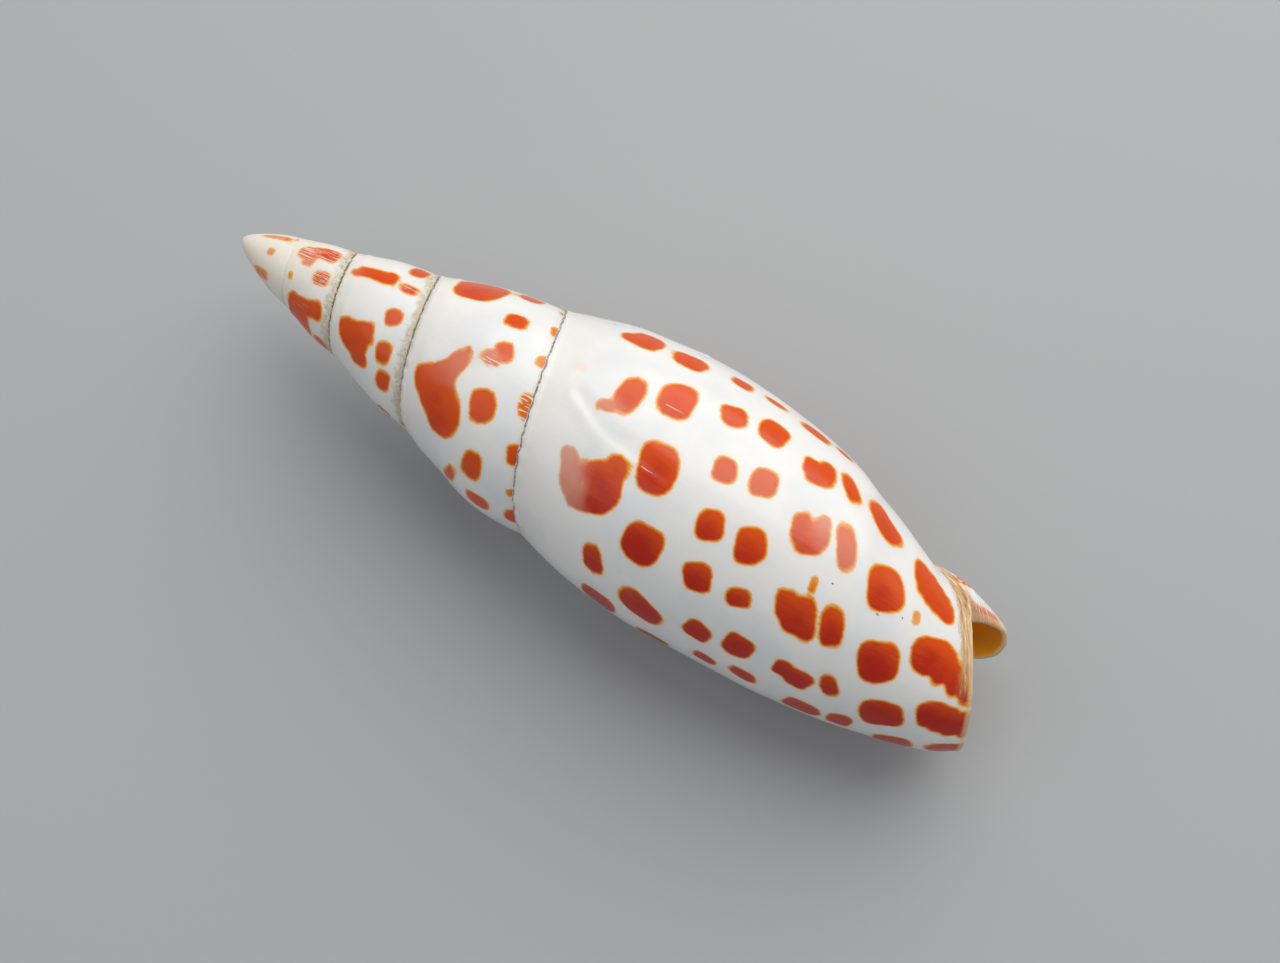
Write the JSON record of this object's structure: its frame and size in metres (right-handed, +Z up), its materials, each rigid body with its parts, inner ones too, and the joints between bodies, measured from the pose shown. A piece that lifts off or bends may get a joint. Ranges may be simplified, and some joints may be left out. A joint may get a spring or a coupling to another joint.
{
  "type": "miter shell",
  "caption": "Long spiral sea snail shell with a pointed spire and a narrow slit mouth, polished white with rows of orange-red spots, lying mouth down.",
  "frame": {"origin": "on the floor under the middle of the shell's box", "axes": "+X from the pointed tip of the spire towards the open front end, +Z up"},
  "size_m": [0.112, 0.0342, 0.0322],
  "materials": {
    "shell": "polished porcelain white with orange-red spots"
  },
  "bodies": {
    "root": {"shell": "shell"}
  },
  "joints": []
}
